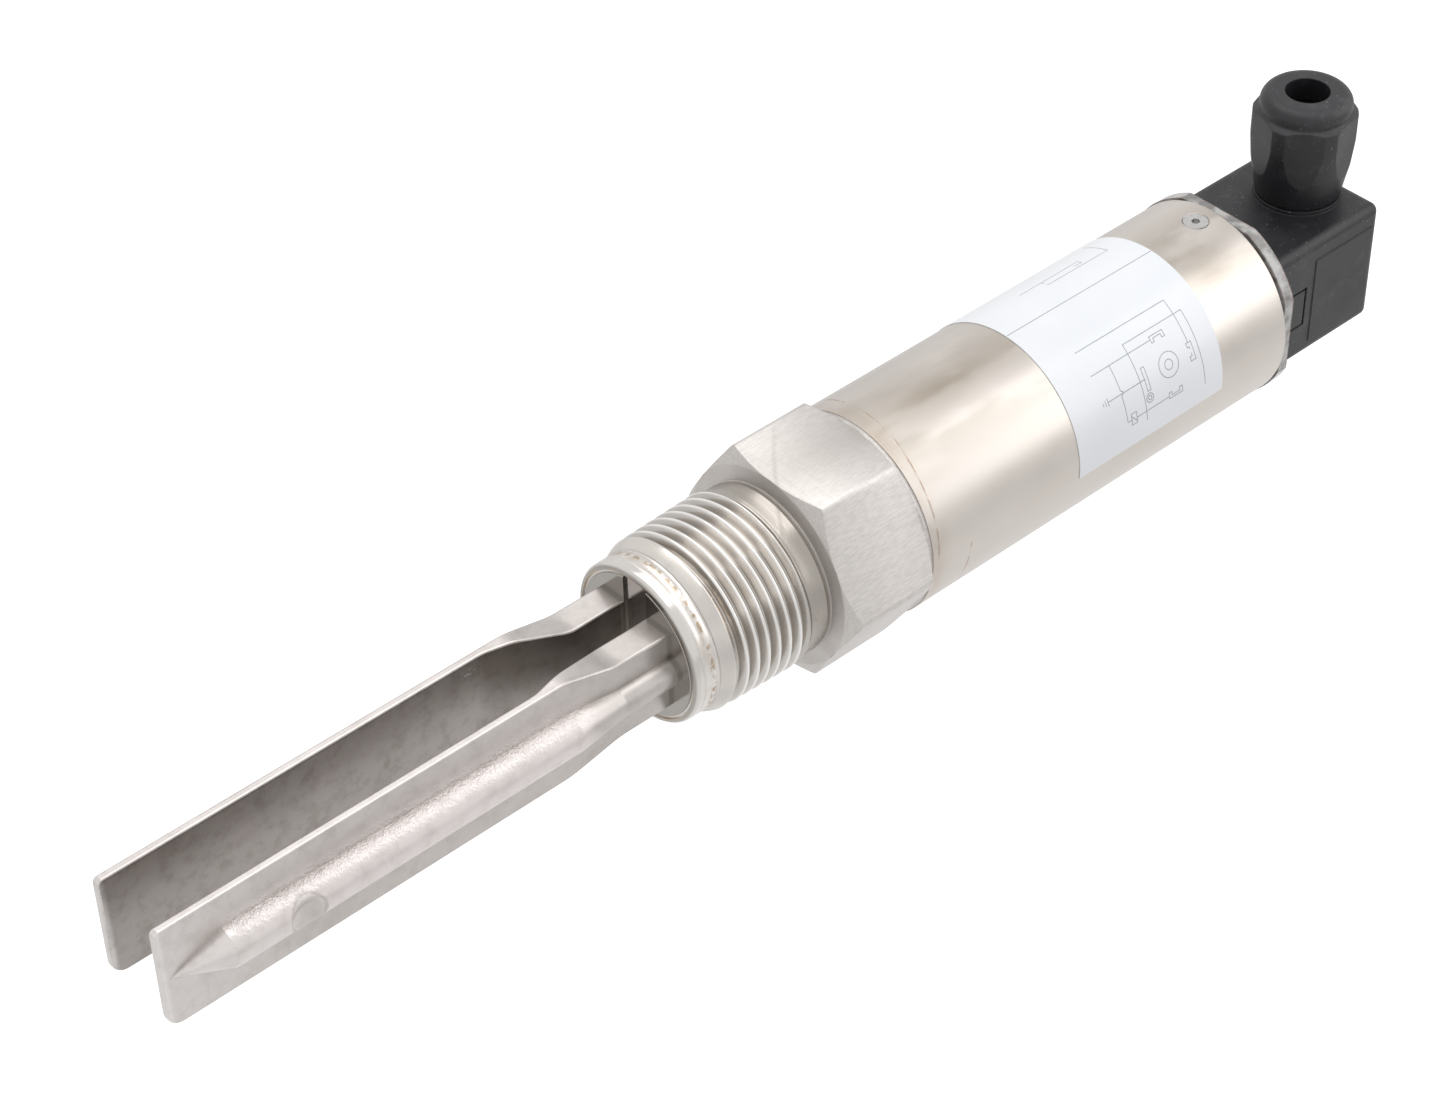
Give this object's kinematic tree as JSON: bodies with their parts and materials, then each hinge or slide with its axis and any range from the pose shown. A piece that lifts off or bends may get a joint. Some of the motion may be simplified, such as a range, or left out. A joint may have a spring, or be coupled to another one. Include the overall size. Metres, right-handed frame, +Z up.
{
  "type": "tuning fork level switch",
  "caption": "Vibrating fork level switch: two-tine steel fork on a threaded hexagon neck, round steel housing and an angled black plug with a cable gland.",
  "frame": {"origin": "on the tube's axis, in the front face of the hexagon, where the process thread ends", "axes": "+X along the tube from the fork to the plug, +Z up along the cable gland, +Y across the tines"},
  "size_m": [0.274, 0.0438, 0.0539],
  "materials": {
    "cast_steel": "satin cast stainless steel",
    "turned_steel": "fine turned stainless steel",
    "tube_steel": "satin blasted stainless steel",
    "screw_steel": "bright steel",
    "label_foil": "glossy white foil",
    "white_ceramic": "matte",
    "piezo_ceramic": "matte",
    "brass": "bright",
    "tinned_brass": "bright tinned",
    "cream_plastic": "matte",
    "board_green": "gloss",
    "component_black": "matte",
    "dark_plastic": "matte",
    "black_plastic": "fine matte",
    "grey_gasket": "glossy translucent grey",
    "black_rubber": "matte",
    "wire_jacket": "satin"
  },
  "bodies": {
    "sensor": {"fork": "cast_steel", "process_connection": "turned_steel", "housing_tube": "tube_steel", "label": "label_foil", "insulator_front": "white_ceramic", "insulator_rear": "white_ceramic", "pressure_ring": "turned_steel", "drive_bolt": "turned_steel", "heat_barrier": "cream_plastic", "electronics_cup": "cream_plastic", "board_drive": "board_green", "board_output": "board_green", "capacitor": "component_black", "switching_relay": "component_black", "oscillator_coil": "component_black", "connector_base": "dark_plastic", "threaded_bush": "brass", "seal_ring": "black_rubber", "tube_screw": "screw_steel", "profile_gasket": "grey_gasket", "piezo_disc_1": "piezo_ceramic", "piezo_disc_2": "piezo_ceramic", "piezo_disc_3": "piezo_ceramic", "piezo_disc_4": "piezo_ceramic", "electrode_1": "brass", "electrode_2": "brass", "electrode_3": "brass", "electrode_4": "brass", "electrode_5": "brass", "contact_blade_1": "tinned_brass", "contact_blade_2": "tinned_brass", "contact_blade_3": "tinned_brass", "earth_blade": "tinned_brass", "drive_wire_1": "wire_jacket", "drive_wire_2": "wire_jacket", "contact_wire_1": "wire_jacket", "contact_wire_2": "wire_jacket", "contact_wire_3": "wire_jacket", "earth_wire": "wire_jacket"},
    "plug": {"plug_housing": "black_plastic", "plug_insert": "dark_plastic", "socket_1": "tinned_brass", "socket_2": "tinned_brass", "socket_3": "tinned_brass", "earth_socket": "tinned_brass", "centre_washer": "black_rubber", "gland_seal": "black_rubber", "thrust_washer": "dark_plastic"},
    "centre_screw": {"centre_screw": "screw_steel"},
    "gland_nut": {"gland_nut": "black_plastic"},
    "terminal_screw_1": {"terminal_screw_1": "screw_steel"},
    "terminal_screw_2": {"terminal_screw_2": "screw_steel"},
    "terminal_screw_3": {"terminal_screw_3": "screw_steel"},
    "terminal_screw_4": {"terminal_screw_4": "screw_steel"}
  },
  "joints": [
    {"name": "plug_pull", "type": "slide", "parent": "sensor", "child": "plug", "axis": [1, 0, 0], "range_m": [0, 0.04]},
    {"name": "centre_screw_turn", "type": "hinge", "parent": "plug", "child": "centre_screw", "pos_m": [0.1425, 0, 0], "axis": [1, 0, 0], "continuous": true},
    {"name": "gland_nut_turn", "type": "hinge", "parent": "plug", "child": "gland_nut", "pos_m": [0.1342, 0, 0.025], "axis": [0, 0, 1], "continuous": true},
    {"name": "terminal_screw_1_turn", "type": "hinge", "parent": "plug", "child": "terminal_screw_1", "pos_m": [0.1279, 0.0076, 0], "axis": [1, 0, 0], "continuous": true},
    {"name": "terminal_screw_2_turn", "type": "hinge", "parent": "plug", "child": "terminal_screw_2", "pos_m": [0.1279, -0.0076, 0], "axis": [1, 0, 0], "continuous": true},
    {"name": "terminal_screw_3_turn", "type": "hinge", "parent": "plug", "child": "terminal_screw_3", "pos_m": [0.1279, 0, -0.0076], "axis": [1, 0, 0], "continuous": true},
    {"name": "terminal_screw_4_turn", "type": "hinge", "parent": "plug", "child": "terminal_screw_4", "pos_m": [0.1279, 0, 0.0076], "axis": [1, 0, 0], "continuous": true}
  ]
}
